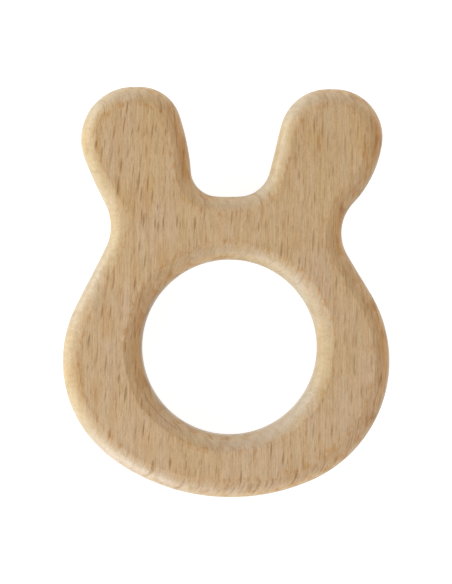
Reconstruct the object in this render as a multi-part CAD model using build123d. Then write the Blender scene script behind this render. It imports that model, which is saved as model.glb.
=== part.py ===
from build123d import *
from collections import namedtuple
from math import sqrt
import os

# Wooden teething ring: one board of beech cut to a ring with two upright ears, with every
# edge of both faces rounded over, so that a baby can hold and mouth it.
# It lies flat: +Z is up, and +Y points to the ears and is the direction of the grain.
# The origin is on the back face, under the middle of the outline. All sizes are in millimetres.

# Driving dimensions
BOARD_THICKNESS = 12.0
OUTLINE_ROUND_OVER = 3.5
HOLE_RADIUS = 19.2
HOLE_ROUND_OVER = 4.0
SAME_RADIUS = 0.01

# The outline is a closed run of bends, counter-clockwise from the lower right. It is shaped
# by hand, so its two sides are not quite mirror images. Sizes are to the nearest half millimetre.
# x and y are each bend's centre, measured from the centre of the hole.
# A positive radius bulges outwards, and a negative one is a hollow.
# sweep is the radius of the wide curve that leads smoothly on to the next bend, or
# STRAIGHT where a straight run does.
STRAIGHT = None
Bend = namedtuple("Bend", "place x y radius sweep")
OUTLINE = [
    Bend("right cheek", 6.5, -3.0, 28.5, STRAIGHT),
    Bend("right waist", 34.0, 25.0, -9.5, 24.0),
    Bend("right ear, outer side", 23.0, 46.0, 10.5, 25.0),
    Bend("right ear, inner side", 21.5, 46.0, 10.5, STRAIGHT),
    Bend("gap between the ears, right corner", 2.0, 40.0, -7.0, -40.0),
    Bend("gap between the ears, left corner", -2.5, 39.0, -6.0, 50.0),
    Bend("left ear, inner side", -19.5, 48.0, 9.0, 25.0),
    Bend("left ear, outer side", -21.0, 45.5, 11.5, 100.0),
    Bend("left waist", -36.5, 26.5, -10.5, STRAIGHT),
    Bend("left cheek", -10.0, -3.0, 26.5, 44.0),
]


def centre_of(bend):
    return Vector(bend.x, bend.y)


def straight_run(first, second):
    """The two ends of the line that touches both bends."""
    along = centre_of(second) - centre_of(first)
    forwards = along.normalized()
    right = forwards.rotate(Axis.Z, -90)
    lean = (first.radius - second.radius) / along.length
    outwards = forwards * lean + right * sqrt(1 - lean**2)
    start = centre_of(first) + outwards * first.radius
    end = centre_of(second) + outwards * second.radius
    return start, end


def sweeping_run(first, second):
    """The two ends of the arc that touches both bends. Its radius is the first one's sweep."""
    along = centre_of(second) - centre_of(first)
    forwards = along.normalized()
    left = forwards.rotate(Axis.Z, 90)
    from_first = first.radius - first.sweep
    from_second = second.radius - first.sweep
    ahead = (from_first**2 - from_second**2 + along.length**2) / (2 * along.length)
    aside = sqrt(from_first**2 - ahead**2)
    if first.sweep < 0:
        aside = -aside
    to_middle = forwards * ahead + left * aside
    middle = centre_of(first) + to_middle
    start = centre_of(first) + to_middle * (first.radius / from_first)
    end = centre_of(second) + (middle - centre_of(second)) * (second.radius / from_second)
    return start, end


def run_between(first, second):
    if first.sweep is STRAIGHT:
        return straight_run(first, second)
    return sweeping_run(first, second)


def outline_wire():
    """The bends and the runs between them, joined end to end."""
    following = OUTLINE[1:] + OUTLINE[:1]
    runs = [run_between(bend, next_bend) for bend, next_bend in zip(OUTLINE, following)]
    edges = []
    for index, bend in enumerate(OUTLINE):
        bend_start = runs[index - 1][1]
        run_start, run_end = runs[index]
        edges.append(RadiusArc(bend_start, run_start, -bend.radius))
        if bend.sweep is STRAIGHT:
            edges.append(Line(run_start, run_end))
        else:
            edges.append(RadiusArc(run_start, run_end, -bend.sweep))
    return Wire(edges)


def teether_body():
    """The whole object: a board cut to its outline, then drilled. Each step is followed by its round-overs."""
    outline = outline_wire()
    to_origin = -outline.bounding_box().center()
    board = extrude(Face(outline), BOARD_THICKNESS, dir=(0, 0, 1)).moved(Location(to_origin))
    flats = board.faces().filter_by(Axis.Z)
    board = fillet(flats.edges(), OUTLINE_ROUND_OVER)

    print(f"centre of the hole: x {to_origin.X:.3f}, y {to_origin.Y:.3f}")
    drill = Cylinder(HOLE_RADIUS, BOARD_THICKNESS, align=(Align.CENTER, Align.CENTER, Align.MIN))
    board -= drill.moved(Location(to_origin))
    circles = board.edges().filter_by(GeomType.CIRCLE)
    mouths = [circle for circle in circles if abs(circle.radius - HOLE_RADIUS) < SAME_RADIUS]
    return fillet(mouths, HOLE_ROUND_OVER)


os.makedirs("parts", exist_ok=True)
body = teether_body()
size = body.bounding_box().size
print(f"teether_body {size.X:.2f} x {size.Y:.2f} x {size.Z:.2f}, volume {body.volume:.0f}")
export_step(body, "parts/teether_body.step")
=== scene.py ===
from math import cos, pi, radians, sin

import bpy
import numpy as np
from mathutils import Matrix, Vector, noise
from mathutils.geometry import delaunay_2d_cdt

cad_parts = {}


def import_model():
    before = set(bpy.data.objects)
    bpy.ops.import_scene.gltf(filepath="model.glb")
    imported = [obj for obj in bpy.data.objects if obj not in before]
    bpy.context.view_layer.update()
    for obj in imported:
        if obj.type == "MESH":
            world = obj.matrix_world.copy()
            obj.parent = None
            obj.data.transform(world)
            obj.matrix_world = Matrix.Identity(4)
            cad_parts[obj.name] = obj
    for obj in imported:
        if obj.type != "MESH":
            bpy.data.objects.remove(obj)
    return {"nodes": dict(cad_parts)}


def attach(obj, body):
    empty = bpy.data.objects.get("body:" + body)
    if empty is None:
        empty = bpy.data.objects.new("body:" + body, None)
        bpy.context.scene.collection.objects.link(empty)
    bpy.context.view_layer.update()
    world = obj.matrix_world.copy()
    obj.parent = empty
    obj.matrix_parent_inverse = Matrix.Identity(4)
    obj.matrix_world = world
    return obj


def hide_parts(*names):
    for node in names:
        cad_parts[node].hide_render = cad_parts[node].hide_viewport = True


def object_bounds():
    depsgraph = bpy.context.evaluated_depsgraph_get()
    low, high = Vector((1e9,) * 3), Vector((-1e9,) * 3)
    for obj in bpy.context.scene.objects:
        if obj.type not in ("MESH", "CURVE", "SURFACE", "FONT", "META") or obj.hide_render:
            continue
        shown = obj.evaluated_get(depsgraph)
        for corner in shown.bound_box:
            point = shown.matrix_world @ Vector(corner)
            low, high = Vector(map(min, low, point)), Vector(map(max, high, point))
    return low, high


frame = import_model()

# A wooden teething ring cut from one beech board, lying on its back on a pale floor.
# Sizes are in metres, in the CAD frame: +Z up, +Y towards the ears and along the grain.

cad_low, cad_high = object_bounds()
MM = 0.001

# ---- driving sizes, worked out from the CAD body ----
THICKNESS = cad_high.z - cad_low.z
HEIGHT = cad_high.y - cad_low.y
OUTLINE_ROUND_OVER = THICKNESS * 3.5 / 12
HOLE_ROUND_OVER = THICKNESS / 3
MIDDLE = (cad_low + cad_high) / 2

# ---- mesh fineness ----
RIM_STEP = 0.40 * MM
FACE_STEP = 0.55 * MM
ROUND_OVER_STEPS = 12
WALL_STEPS = 6

# ---- what hand sanding does to the machined board ----
OUTLINE_CREASE_SLOPE = 0.14
HOLE_CREASE_SLOPE = 0.24
HOLE_CREASE_SHIFT = 0.25 * MM
CREASE_WIDTH = 0.12 * MM
WAVY_CREASE = 0.55 * MM
SANDED_WAVES = 0.035 * MM


# =============================== outline ===============================

def wall_loops(node, round_over):
    """The closed loops of points at the height where the front round-over meets a straight wall."""
    mesh = node.data
    level = cad_high.z - round_over
    places = {}
    index_of = []
    for vertex in mesh.vertices:
        key = tuple(round(value / MM, 3) for value in vertex.co)
        index_of.append(places.setdefault(key, len(places)))
    points = [None] * len(places)
    for vertex, index in zip(mesh.vertices, index_of):
        points[index] = vertex.co
    neighbours = {}
    for edge in mesh.edges:
        first, second = (index_of[i] for i in edge.vertices)
        at_level = abs(points[first].z - level) < 1e-6 and abs(points[second].z - level) < 1e-6
        if at_level and first != second:
            neighbours.setdefault(first, set()).add(second)
            neighbours.setdefault(second, set()).add(first)
    loops = []
    waiting = {index for index, near in neighbours.items() if len(near) == 2}
    while waiting:
        here = min(waiting)
        loop = []
        while here is not None:
            loop.append(here)
            waiting.discard(here)
            here = min(neighbours[here] & waiting, default=None)
        loops.append(np.array([points[i].xy for i in loop]))
    return sorted(loops, key=lambda loop: np.ptp(loop[:, 1]), reverse=True)


def signed_area(loop):
    after = np.roll(loop, -1, axis=0)
    return 0.5 * np.sum(loop[:, 0] * after[:, 1] - after[:, 0] * loop[:, 1])


def smooth_loop(loop, step):
    """An even, counter-clockwise run of points on the closed cubic spline through the loop."""
    if signed_area(loop) < 0:
        loop = loop[::-1]
    count = len(loop)
    gaps = np.linalg.norm(np.roll(loop, -1, axis=0) - loop, axis=1)
    before = np.roll(gaps, 1)
    rows = np.arange(count)
    system = np.zeros((count, count))
    system[rows, rows] = 2 * (gaps + before)
    system[rows, (rows + 1) % count] += before
    system[rows, (rows - 1) % count] += gaps
    ahead = (np.roll(loop, -1, axis=0) - loop) / gaps[:, None]
    behind = np.roll(ahead, 1, axis=0)
    slopes = np.linalg.solve(system, 3 * (gaps[:, None] * behind + before[:, None] * ahead))

    length = np.concatenate([[0], np.cumsum(gaps)])
    wanted = np.linspace(0, length[-1], round(length[-1] / step), endpoint=False)
    piece = np.searchsorted(length, wanted, side="right") - 1
    gap = gaps[piece][:, None]
    t = (wanted - length[piece])[:, None] / gap
    after = (piece + 1) % count
    return (
        loop[piece] * (1 + 2 * t) * (1 - t) ** 2
        + slopes[piece] * gap * t * (1 - t) ** 2
        + loop[after] * t**2 * (3 - 2 * t)
        - slopes[after] * gap * t**2 * (1 - t)
    )


def left_normals(loop):
    """Unit vectors to the left of a run of points, square to it."""
    along = np.roll(loop, -1, axis=0) - np.roll(loop, 1, axis=0)
    along /= np.linalg.norm(along, axis=1)[:, None]
    return np.column_stack([-along[:, 1], along[:, 0]])


# =============================== the body's mesh ===============================

def rim_section(round_over, crease_slope, reach):
    """Points of a rim's section from the front face to the back one: how far in from the wall, how high."""
    front = [(reach + CREASE_WIDTH, 0.0)]
    for k in (0, 0.3, *range(1, ROUND_OVER_STEPS + 1)):
        turn = k / ROUND_OVER_STEPS * pi / 2
        t = sin(turn)
        depth = 1 - cos(turn) + crease_slope * t * (1 - t) ** 2
        front.append(((1 - t) * reach, depth * round_over))
    section = [(inset, cad_high.z - depth) for inset, depth in front]
    wall_top, wall_bottom = cad_high.z - round_over, cad_low.z + round_over
    for k in range(1, WALL_STEPS):
        section.append((0.0, wall_top + (wall_bottom - wall_top) * k / WALL_STEPS))
    for inset, depth in reversed(front):
        section.append((inset, cad_low.z + depth))
    return section


def rim_rings(loop, normals, section):
    """One ring of points for each point of the section. The crease wanders a little, as by hand."""
    deepest = section[0][0]
    rings = []
    for inset, height in section:
        share = inset / deepest
        wander = np.array([
            noise.noise(Vector((x, y, height * 2)) / (9 * MM)) for x, y in loop
        ])
        reach = inset + share**2 * WAVY_CREASE * wander
        flat = loop + normals * reach[:, None]
        rings.append(np.column_stack([flat, np.full(len(loop), height)]))
    return rings


def ring_quads(first, second, flip):
    """Quads between two rings of the same length, given as their first indices and length."""
    start, count = first
    other = second[0]
    quads = []
    for i in range(count):
        j = (i + 1) % count
        quad = (start + i, start + j, other + j, other + i)
        quads.append(quad[::-1] if flip else quad)
    return quads


def inside(points, loop):
    """For each point, whether it lies inside the closed loop."""
    x, y = points[:, 0][:, None], points[:, 1][:, None]
    after = np.roll(loop, -1, axis=0)
    crosses = (loop[:, 1] > y) != (after[:, 1] > y)
    rise = np.where(after[:, 1] == loop[:, 1], 1, after[:, 1] - loop[:, 1])
    at = loop[:, 0] + (y - loop[:, 1]) / rise * (after[:, 0] - loop[:, 0])
    return np.sum(crosses & (x < at), axis=1) % 2 == 1


def distance_to(points, loop):
    """Each point's distance from the nearest of the loop's points, worked out a block at a time."""
    blocks = np.array_split(points, max(1, len(points) // 2000))
    return np.concatenate([
        np.sqrt(((block[:, None, :] - loop[None, :, :]) ** 2).sum(axis=2).min(axis=1))
        for block in blocks
    ])


def face_points(outer, hole):
    """A honeycomb of points over the flat face, a step clear of its edges."""
    low, high = outer.min(axis=0), outer.max(axis=0)
    rows = np.arange(low[1], high[1], FACE_STEP * sin(pi / 3))
    points = []
    for number, y in enumerate(rows):
        xs = np.arange(low[0] + FACE_STEP / 2 * (number % 2), high[0], FACE_STEP)
        points.append(np.column_stack([xs, np.full(len(xs), y)]))
    points = np.concatenate(points)
    points = points[inside(points, outer) & ~inside(points, hole)]
    clear = np.minimum(distance_to(points, outer), distance_to(points, hole))
    return points[clear > 0.6 * FACE_STEP]


def face_triangles(outer, hole, extra):
    """Triangles over the face between the two loops, as indices into outer, hole and extra in turn."""
    everything = np.concatenate([outer, hole, extra])
    coords = [Vector(point) * 1000 for point in everything]
    edges = []
    for start, count in ((0, len(outer)), (len(outer), len(hole))):
        edges += [(start + i, start + (i + 1) % count) for i in range(count)]
    found, _, faces, _, _, _ = delaunay_2d_cdt(coords, edges, [], 1, 1e-9)
    assert len(found) == len(everything)
    faces = np.array([list(face) for face in faces])
    middles = everything[faces].mean(axis=1)
    keep = inside(middles, outer) & ~inside(middles, hole)
    faces = faces[keep]
    a, b, c = (everything[faces[:, k]] for k in range(3))
    turn = (b - a)[:, 0] * (c - a)[:, 1] - (b - a)[:, 1] * (c - a)[:, 0]
    faces[turn < 0] = faces[turn < 0][:, ::-1]
    return faces


def sanded(points):
    """The points with shallow, broad waves pressed into the body, as hand sanding leaves."""
    middle_height = MIDDLE.z
    moved = points.copy()
    for i, point in enumerate(points):
        wave = noise.noise(Vector(point) / (11 * MM)) + 0.5 * noise.noise(Vector(point) / (5 * MM))
        dip = SANDED_WAVES * max(0.0, 0.5 + wave)
        up = 1 if point[2] > middle_height else -1
        share = min(1.0, abs(point[2] - middle_height) / (THICKNESS / 2)) ** 4
        moved[i, 2] -= up * dip * share
    return moved


def teether_mesh():
    """The whole body as one closed mesh, with each point's distance in from the nearest wall."""
    body = frame["nodes"]["teether_body"]
    outer = smooth_loop(wall_loops(body, OUTLINE_ROUND_OVER)[0], RIM_STEP)
    hole = smooth_loop(wall_loops(body, HOLE_ROUND_OVER)[-1], RIM_STEP)
    outer_section = rim_section(OUTLINE_ROUND_OVER, OUTLINE_CREASE_SLOPE, OUTLINE_ROUND_OVER)
    hole_reach = HOLE_ROUND_OVER - HOLE_CREASE_SHIFT
    hole_section = rim_section(HOLE_ROUND_OVER, HOLE_CREASE_SLOPE, hole_reach)
    rims = [
        rim_rings(outer, left_normals(outer), outer_section),
        rim_rings(hole, -left_normals(hole), hole_section),
    ]

    points, edge_distance, faces, starts = [], [], [], []
    total = 0
    for number, (rings, section) in enumerate(zip(rims, (outer_section, hole_section))):
        ring_starts = []
        for ring, (inset, _) in zip(rings, section):
            ring_starts.append((total, len(ring)))
            points.append(ring)
            edge_distance.append(np.full(len(ring), inset))
            total += len(ring)
        for first, second in zip(ring_starts, ring_starts[1:]):
            faces += ring_quads(first, second, flip=number == 0)
        starts.append(ring_starts)

    for end, height, up in ((0, cad_high.z, True), (-1, cad_low.z, False)):
        around, ring = rims[0][end][:, :2], rims[1][end][:, :2]
        extra = face_points(around, ring)
        triangles = face_triangles(around, ring, extra)
        index = np.concatenate([
            starts[0][end][0] + np.arange(len(around)),
            starts[1][end][0] + np.arange(len(ring)),
            total + np.arange(len(extra)),
        ])
        points.append(np.column_stack([extra, np.full(len(extra), height)]))
        nearest = np.minimum(distance_to(extra, outer), distance_to(extra, hole))
        edge_distance.append(nearest)
        total += len(extra)
        triangles = index[triangles]
        faces += [tuple(t) if up else tuple(t[::-1]) for t in triangles.tolist()]

    points = sanded(np.concatenate(points))
    mesh = bpy.data.meshes.new("beech_teether")
    mesh.from_pydata(points.tolist(), [], faces)
    attribute = mesh.attributes.new("edge_distance", "FLOAT", "POINT")
    attribute.data.foreach_set("value", np.concatenate(edge_distance) / MM)
    mesh.shade_smooth()
    mesh.validate()
    return mesh


# =============================== beech ===============================

# How the board was sawn: the grain runs along the ears, and the rays, which fan out from the
# middle of the tree, come up through the faces at a slant. So the left-facing rims are cut
# along the rays, the right-facing ones square to them, and the ear tops across the grain.
# The slant is set so that the paler cut tints fall on the lit left-facing rims and the deeper one on the shaded
# right-facing rims, which paints in part of their light and shade.
GRAIN = Vector((0, 1, 0))
RAYS = Vector((1, 0, 1)).normalized()
ACROSS_RAYS = GRAIN.cross(RAYS)
FACE_TO_RAYS = abs(ACROSS_RAYS.z)

# Linear colours: the board itself, and what each mark multiplies it by.
PINKISH_TAN = (0.459, 0.325, 0.204)
YELLOW_TAN = (0.453, 0.312, 0.167)
DARK_FIBRE = (0.80, 0.78, 0.70)
DARK_PORE = (0.86, 0.845, 0.81)
DARK_BAND = (0.965, 0.94, 0.90)
LATE_WOOD = (0.97, 0.935, 0.875)
WARM_PATCH = (0.96, 0.89, 0.76)
RAY_FLAKE = (0.93, 0.91, 0.86)
BROWN_FLECK = (0.62, 0.54, 0.42)
RUSTY_FLECK = (0.70, 0.56, 0.40)
FAINT_FLECK = (0.82, 0.75, 0.65)
END_RAY = (0.68, 0.55, 0.40)
RUSTY_BAND = (0.94, 0.86, 0.74)
BURNISHED_CREASE = (0.93, 0.80, 0.62)
TOOL_MARK = (0.86, 0.78, 0.68)
# painted shade for the steep walls
PAINTED_WALL_SHADE = (0.92, 0.96, 0.99)
# Part colour of the cut, part painted light: the plain-sawn tint is also painted shade on the right-facing rims,
# the quarter-sawn and end-grain tints also painted sheen on the left-facing rims and those facing along the
# grain.
PLAIN_SAWN_AND_SHADE = (1.15, 0.98, 0.74)
QUARTER_SAWN_AND_SHEEN = (0.885, 0.98, 1.02)
RUSTY_STREAK = (0.82, 0.71, 0.55)
END_GRAIN_AND_SHEEN = (0.89, 1.00, 1.18)
SQUARE_END = (0.88, 0.93, 0.96)

# The soft nap of raw sanded fibres, which catches grazing light.
FUZZ = 0.25
FUZZ_ROUGHNESS = 0.35


class Graph:
    """Adds nodes to a material. Each call takes numbers or sockets, and returns the new node's output."""

    def __init__(self, tree):
        self.tree = tree

    def node(self, kind, inputs, **settings):
        made = self.tree.nodes.new(kind)
        for name, value in settings.items():
            setattr(made, name, value)
        for key, value in inputs.items():
            if isinstance(value, bpy.types.NodeSocket):
                self.tree.links.new(value, made.inputs[key])
            else:
                made.inputs[key].default_value = value
        return made

    def maths(self, operation, *values):
        return self.node("ShaderNodeMath", dict(enumerate(values)), operation=operation).outputs[0]

    def vectors(self, operation, *values, output="Vector"):
        made = self.node("ShaderNodeVectorMath", dict(enumerate(values)), operation=operation)
        return made.outputs[output]

    def combine(self, x, y, z):
        return self.node("ShaderNodeCombineXYZ", {"X": x, "Y": y, "Z": z}).outputs[0]

    def separate(self, vector):
        return self.node("ShaderNodeSeparateXYZ", {"Vector": vector}).outputs

    def noise(self, vector, detail=2.0, roughness=0.5):
        inputs = {"Vector": vector, "Scale": 1.0, "Detail": detail, "Roughness": roughness}
        return self.node("ShaderNodeTexNoise", inputs).outputs["Fac"]

    def ranged(self, value, low, high, to_low=0.0, to_high=1.0, smooth=True):
        inputs = {"Value": value, "From Min": low, "From Max": high, "To Min": to_low, "To Max": to_high}
        kind = "SMOOTHSTEP" if smooth else "LINEAR"
        return self.node("ShaderNodeMapRange", inputs, interpolation_type=kind).outputs["Result"]

    def mixed(self, share, first, second, blend="MIX"):
        made = self.node("ShaderNodeMix", {}, data_type="RGBA", blend_type=blend)
        for key, value in (("Factor_Float", share), ("A_Color", first), ("B_Color", second)):
            socket = next(s for s in made.inputs if s.identifier == key)
            if isinstance(value, bpy.types.NodeSocket):
                self.tree.links.new(value, socket)
            elif key == "Factor_Float":
                socket.default_value = value
            else:
                socket.default_value = (*value, 1.0)
        return next(s for s in made.outputs if s.identifier == "Result_Color")

    def tinted(self, colour, share, tint):
        """The colour, multiplied by tint where share is 1."""
        return self.mixed(share, colour, tint, blend="MULTIPLY")


def wood_place(g):
    """Where a point is in the board, in millimetres: across the rays, along the grain, along the rays."""
    point = g.node("ShaderNodeTexCoord", {}).outputs["Object"]
    point = g.vectors("MULTIPLY", point, (1 / MM, 1 / MM, 1 / MM))
    drift = g.noise(g.vectors("DIVIDE", point, (30, 45, 30)), detail=1.0)
    drift = g.ranged(drift, 0, 1, -0.5, 0.5, smooth=False)
    across = g.maths("ADD", g.vectors("DOT_PRODUCT", point, tuple(ACROSS_RAYS), output="Value"), drift)
    along = g.vectors("DOT_PRODUCT", point, tuple(GRAIN), output="Value")
    radial = g.vectors("DOT_PRODUCT", point, tuple(RAYS), output="Value")
    return g.combine(across, along, radial)


def facing(g, direction):
    """How squarely the surface faces along a direction, or against it: 0 to 1."""
    normal = g.node("ShaderNodeTexCoord", {}).outputs["Normal"]
    return g.maths("ABSOLUTE", g.vectors("DOT_PRODUCT", normal, tuple(direction), output="Value"))


def stretched_noise(g, place, size, detail=2.0, roughness=0.5):
    """Noise with features of about the given size, in millimetres across, along and radially."""
    return g.noise(g.vectors("DIVIDE", place, size), detail, roughness)


def growth_rings(g, place):
    """How near a point is to the dark line that ends each year's growth: 0 to 1."""
    radial = g.separate(place)[2]
    bend = g.maths("MULTIPLY", stretched_noise(g, place, (14, 60, 14)), 2.2)
    year = g.maths("FRACT", g.maths("ADD", g.maths("DIVIDE", radial, 2.6), bend))
    return g.maths("MULTIPLY", g.ranged(year, 0.40, 0.95), g.ranged(year, 1.0, 0.95))


def leaning(g, place, lean):
    """The place, sheared so that marks drawn in it lean away from the grain, with their tops to the right."""
    across, along, radial = g.separate(place)
    lean = g.ranged(across, -30, 30, lean, 0.0, smooth=False)
    return g.combine(g.maths("SUBTRACT", across, g.maths("MULTIPLY", along, lean)), along, radial)


def ray_flecks(g, place, cell, half_width, half_length, weakest, shift):
    """Spindles where rays end on the surface, one to a cell, each with its own size and strength."""
    scaled = g.vectors("ADD", g.vectors("DIVIDE", place, cell), (shift, shift, shift))
    cells = g.node("ShaderNodeTexVoronoi", {"Vector": scaled, "Scale": 1.0, "Randomness": 0.85})
    offset = g.vectors("MULTIPLY", g.vectors("SUBTRACT", scaled, cells.outputs["Position"]), cell)
    chance = g.separate(cells.outputs["Color"])
    across, along, deep = g.separate(offset)
    width = g.ranged(chance[0], 0, 1, 0.6 * half_width, 1.4 * half_width, smooth=False)
    length = g.ranged(chance[1], 0, 1, 0.5 * half_length, 1.5 * half_length, smooth=False)
    off_centre = g.maths("DIVIDE", g.maths("ABSOLUTE", across), width)
    off_middle = g.maths("POWER", g.maths("ABSOLUTE", g.maths("DIVIDE", along, length)), 1.6)
    off_depth = g.maths("POWER", g.maths("ABSOLUTE", g.maths("DIVIDE", deep, 0.8 * cell[2])), 2.0)
    shape = g.maths("ADD", off_centre, g.maths("ADD", off_middle, off_depth))
    body = g.ranged(shape, 1.0, 0.35)
    strength = g.ranged(chance[2], weakest, 0.9)
    return g.maths("MULTIPLY", body, strength)


def board_colour(g, place, to_rays, to_grain):
    """The plain board: broad drifts of tone, growth rings, wide bands, fine fibres and finer pores."""
    along = g.separate(place)[1]
    patches = g.ranged(stretched_noise(g, place, (5, 20, 9)), 0.3, 0.7)
    towards_foot = g.ranged(along, 30, -30, -0.25, 0.25, smooth=False)
    colour = g.mixed(g.maths("ADD", patches, towards_foot), YELLOW_TAN, PINKISH_TAN)
    rings = growth_rings(g, place)
    colour = g.tinted(colour, rings, LATE_WOOD)
    on_plain = g.ranged(to_rays, 0.50, 0.15)
    colour = g.tinted(colour, g.maths("MULTIPLY", rings, on_plain), RUSTY_BAND)
    bands = stretched_noise(g, place, (0.8, 12, 2.0))
    colour = g.tinted(colour, g.ranged(bands, 0.35, 0.7), DARK_BAND)
    warm = stretched_noise(g, place, (3, 13, 6))
    colour = g.tinted(colour, g.ranged(warm, 0.54, 0.74), WARM_PATCH)

    # fibres hardly show on faces cut along the rays, and little across the grain
    clear_of_rays = g.ranged(to_rays, 0.76, 0.94, 1.0, 0.35)
    clear_of_ends = g.ranged(to_grain, 0.20, 0.70, 1.0, 0.42)
    clearness = g.maths("MULTIPLY", clear_of_rays, clear_of_ends)
    long_fibres = stretched_noise(g, place, (0.17, 9, 0.4), detail=2.0)
    short_fibres = stretched_noise(g, place, (0.20, 2.2, 0.4), detail=3.0, roughness=0.60)
    fibres = g.maths("ADD", g.maths("MULTIPLY", long_fibres, 0.5), g.maths("MULTIPLY", short_fibres, 0.5))
    dark_fibres = g.ranged(clearness, 0.0, 1.0, 0.45, g.ranged(fibres, 0.38, 0.65), smooth=False)
    colour = g.tinted(colour, dark_fibres, DARK_FIBRE)
    pores = stretched_noise(g, place, (0.13, 0.6, 0.2), detail=1.0)
    colour = g.tinted(colour, g.ranged(pores, 0.50, 0.72), DARK_PORE)
    return colour, fibres


def ray_flakes(g, place, to_rays):
    """The small curly patches that show where a rim is cut along the rays: 0 to 1."""
    patches = g.ranged(stretched_noise(g, place, (0.8, 0.8, 2.0), detail=2.0), 0.45, 0.59)
    return g.maths("MULTIPLY", patches, g.ranged(to_rays, 0.80, 0.94))


def sawn_tint_and_painted_light(g, colour, to_rays, to_grain):
    """Tints the colour by how each part of the surface was cut: plain, along the rays or across the grain. The
    tints are partly painted light: a deeper tint as painted shade on the right-facing rims, paler tints as
    painted sheen on the lit left-facing rims and on those facing along the grain.
    """
    plain = g.ranged(to_rays, FACE_TO_RAYS, 0.2, smooth=False)
    quarter_and_sheen_share = g.ranged(to_rays, FACE_TO_RAYS, 1.0, smooth=False)
    end = g.ranged(to_grain, 0.05, 0.60)
    square_end = g.ranged(to_grain, 0.70, 1.0)
    colour = g.tinted(colour, plain, PLAIN_SAWN_AND_SHADE)
    colour = g.tinted(colour, quarter_and_sheen_share, QUARTER_SAWN_AND_SHEEN)
    colour = g.tinted(colour, end, END_GRAIN_AND_SHEEN)
    return g.tinted(colour, square_end, SQUARE_END)


def rusty_streaks(g, place, to_rays, on_ends):
    """Short rust-brown streaks along the grain, on the rims that aren't cut along the rays: 0 to 1."""
    streaks = g.ranged(stretched_noise(g, place, (0.9, 5, 2.2), detail=1.0), 0.53, 0.68)
    on_rims = g.maths("MAXIMUM", g.ranged(to_rays, 0.62, 0.35), on_ends)
    off_rays = g.ranged(to_rays, 0.76, 0.64)
    return g.maths("MULTIPLY", g.maths("MULTIPLY", streaks, on_rims), off_rays)


def burnished_crease(g, place, edge):
    """Where the round-over's cutter has rubbed the wood darker, in patches along the crease: 0 to 1."""
    near = g.maths("MULTIPLY", g.ranged(edge, 2.7, 3.4), g.ranged(edge, 4.7, 4.0))
    patchy = g.ranged(stretched_noise(g, place, (0.7, 1.8, 2.0), detail=3.0), 0.48, 0.64)
    return g.maths("MULTIPLY", near, patchy)


def tool_mark(g, place, edge, to_rays):
    """A thin dark line along parts of the plain-sawn rims, where the cutter's shoulder rubbed: 0 to 1."""
    off_line = g.maths("ABSOLUTE", g.maths("SUBTRACT", edge, 1.9))
    line = g.ranged(off_line, 0.26, 0.06)
    stretches = g.ranged(stretched_noise(g, place, (7, 9, 7)), 0.56, 0.64)
    return g.maths("MULTIPLY", g.maths("MULTIPLY", line, stretches), g.ranged(to_rays, 0.75, 0.50))


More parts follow.
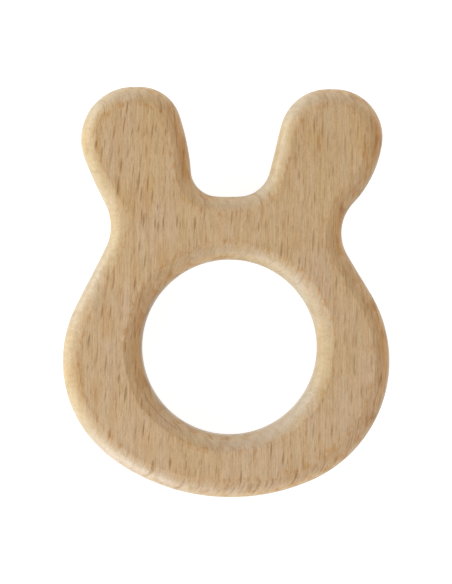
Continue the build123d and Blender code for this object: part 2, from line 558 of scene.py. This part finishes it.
def beech_material():
    material = bpy.data.materials.new("beech")
    material.use_nodes = True
    tree = material.node_tree
    tree.nodes.clear()
    g = Graph(tree)
    place = wood_place(g)
    across, along, _ = g.separate(place)
    edge = g.node("ShaderNodeAttribute", {}, attribute_name="edge_distance").outputs["Fac"]
    to_rays = facing(g, ACROSS_RAYS)
    to_grain = facing(g, GRAIN)
    on_ends = g.maths("MULTIPLY", g.ranged(to_grain, 0.08, 0.26), g.ranged(to_grain, 0.65, 0.95, 1.0, 0.45))
    on_ends = g.maths("MULTIPLY", on_ends, g.ranged(along, -30, -42, 0.40, 0.95))

    colour, fibres = board_colour(g, place, to_rays, to_grain)
    colour = g.tinted(colour, ray_flakes(g, place, to_rays), RAY_FLAKE)
    colour = g.tinted(colour, burnished_crease(g, place, edge), BURNISHED_CREASE)
    colour = g.tinted(colour, rusty_streaks(g, place, to_rays, on_ends), RUSTY_STREAK)
    colour = g.tinted(colour, tool_mark(g, place, edge, to_rays), TOOL_MARK)

    # the rays' ends are coarser on the left of the board and on the rims square to them or to the
    # grain, and hardly show on faces cut along the rays
    leaned = leaning(g, place, 0.09)
    coarser = g.ranged(across, 14, -6, 0.60, 0.92)
    coarser = g.maths("MAXIMUM", coarser, g.ranged(along, -20, -35, 0.60, 0.95))
    coarser = g.maths("MAXIMUM", coarser, g.ranged(to_rays, FACE_TO_RAYS, 0.10))
    coarser = g.maths("MULTIPLY", coarser, g.ranged(to_grain, 0.10, 0.32, 1.0, 0.5))
    coarser = g.maths("MAXIMUM", coarser, on_ends)
    off_rays = g.maths("MAXIMUM", g.ranged(to_rays, 0.78, 0.93, 1.0, 0.12), on_ends)
    coarser = g.maths("MULTIPLY", coarser, off_rays)
    strong = g.maths("MAXIMUM",
        ray_flecks(g, leaned, (1.55, 6.4, 32), 0.24, 2.7, 0.0, 0.0),
        ray_flecks(g, leaned, (1.45, 5.2, 27), 0.20, 2.2, 0.0, 0.5),
    )
    strong = g.maths("MULTIPLY", strong, coarser)
    rusty = g.ranged(stretched_noise(g, place, (2.0, 9.0, 6.0)), 0.42, 0.58)
    rusty = g.maths("MAXIMUM", rusty, on_ends)
    colour = g.tinted(colour, strong, g.mixed(rusty, BROWN_FLECK, RUSTY_FLECK))
    faint = ray_flecks(g, leaned, (0.8, 3.4, 14), 0.15, 1.4, 0.1, 0.25)
    colour = g.tinted(colour, g.maths("MULTIPLY", faint, coarser), FAINT_FLECK)
    end_rays = ray_flecks(g, leaned, (2.4, 4.6, 30), 0.30, 3.0, -0.2, 0.75)
    colour = g.tinted(colour, g.maths("MULTIPLY", end_rays, on_ends), END_RAY)
    # tints by the cut, which also paint sheen on the lit rims and shade on the right-facing ones
    colour = sawn_tint_and_painted_light(g, colour, to_rays, to_grain)

    # painted shade: the steep walls are made a little darker, standing in for the shade that falls on them
    colour = g.tinted(colour, g.ranged(edge, 1.0, 0.1), PAINTED_WALL_SHADE)

    # hands have polished the edges a little smoother than the faces
    roughness = g.ranged(fibres, 0.3, 0.7, 0.50, 0.62, smooth=False)
    polish = g.ranged(edge, 4.5, 2.0, 0.0, 0.03)
    roughness = g.maths("SUBTRACT", roughness, polish)
    height = g.maths("ADD", g.maths("MULTIPLY", fibres, 0.6), g.maths("MULTIPLY", strong, -0.5))
    bump = g.node("ShaderNodeBump", {"Strength": 0.25, "Distance": 0.03 * MM, "Height": height})
    shader = g.node("ShaderNodeBsdfPrincipled", {
        "Base Color": colour,
        "Roughness": roughness,
        "IOR": 1.5,
        "Sheen Weight": FUZZ,
        "Sheen Roughness": FUZZ_ROUGHNESS,
        "Normal": bump.outputs["Normal"],
    })
    g.node("ShaderNodeOutputMaterial", {"Surface": shader.outputs["BSDF"]})
    return material


teether = bpy.data.objects.new("beech_teether", teether_mesh())
teether.data.materials.append(beech_material())
bpy.context.scene.collection.objects.link(teether)
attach(teether, "root")
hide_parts("teether_body")

# =============================== stage ===============================

WORLD_LIGHT = 0.49
FLOOR_DIFFUSE = 0.35
FLOOR_GLOW = 0.85


def floor_material():
    material = bpy.data.materials.new("pale_floor")
    material.use_nodes = True
    shader = material.node_tree.nodes["Principled BSDF"]
    shader.inputs["Base Color"].default_value = (FLOOR_DIFFUSE,) * 3 + (1,)
    shader.inputs["Roughness"].default_value = 1.0
    shader.inputs["Specular IOR Level"].default_value = 0.0
    shader.inputs["Emission Color"].default_value = (1, 1, 1, 1)
    shader.inputs["Emission Strength"].default_value = FLOOR_GLOW
    return material


def floor():
    """A wide plain disc just under the object."""
    radius, under = 4.0, 0.02 * MM
    count = 64
    points = [(radius * cos(2 * pi * k / count), radius * sin(2 * pi * k / count), -under) for k in range(count)]
    mesh = bpy.data.meshes.new("floor")
    mesh.from_pydata(points, [], [tuple(range(count))])
    mesh.materials.append(floor_material())
    made = bpy.data.objects.new("floor", mesh)
    bpy.context.scene.collection.objects.link(made)


def softbox(name, power, azimuth, elevation):
    """A large square lamp that faces the object and that no camera sees. Azimuth 0 is towards +X."""
    light = bpy.data.lights.new(name, "AREA")
    light.energy = power
    light.size = 0.45
    lamp = bpy.data.objects.new(name, light)
    level = cos(radians(elevation))
    towards = Vector((cos(radians(azimuth)) * level, sin(radians(azimuth)) * level, sin(radians(elevation))))
    lamp.location = towards * 0.75
    lamp.rotation_euler = towards.to_track_quat("Z", "Y").to_euler()
    lamp.visible_camera = False
    bpy.context.scene.collection.objects.link(lamp)


def world():
    made = bpy.data.worlds.new("studio")
    made.use_nodes = True
    background = made.node_tree.nodes["Background"]
    background.inputs["Color"].default_value = (1, 1, 1, 1)
    background.inputs["Strength"].default_value = WORLD_LIGHT
    bpy.context.scene.world = made


floor()
world()
softbox("left_low_softbox", 7.7, azimuth=150, elevation=12)
softbox("left_high_softbox", 1.8, azimuth=210, elevation=30)
softbox("near_softbox", 7.5, azimuth=240, elevation=12)
softbox("far_softbox", 3.1, azimuth=60, elevation=12)
softbox("right_high_softbox", 1.0, azimuth=330, elevation=30)

# seen from above, the outline is the front edge of the walls
OBJECT_SHARE_OF_VIEW = 0.703
WIDEST_LEVEL = cad_high.z - OUTLINE_ROUND_OVER
VIEW_HEIGHT = HEIGHT / OBJECT_SHARE_OF_VIEW
LENS = 180
SENSOR = 36
camera_data = bpy.data.cameras.new("camera")
camera_data.lens = LENS
camera_data.sensor_width = SENSOR
camera = bpy.data.objects.new("camera", camera_data)
camera.location = (MIDDLE.x, MIDDLE.y, WIDEST_LEVEL + VIEW_HEIGHT * LENS / SENSOR)
bpy.context.scene.collection.objects.link(camera)
bpy.context.scene.camera = camera

bpy.context.scene.view_settings.view_transform = "Standard"
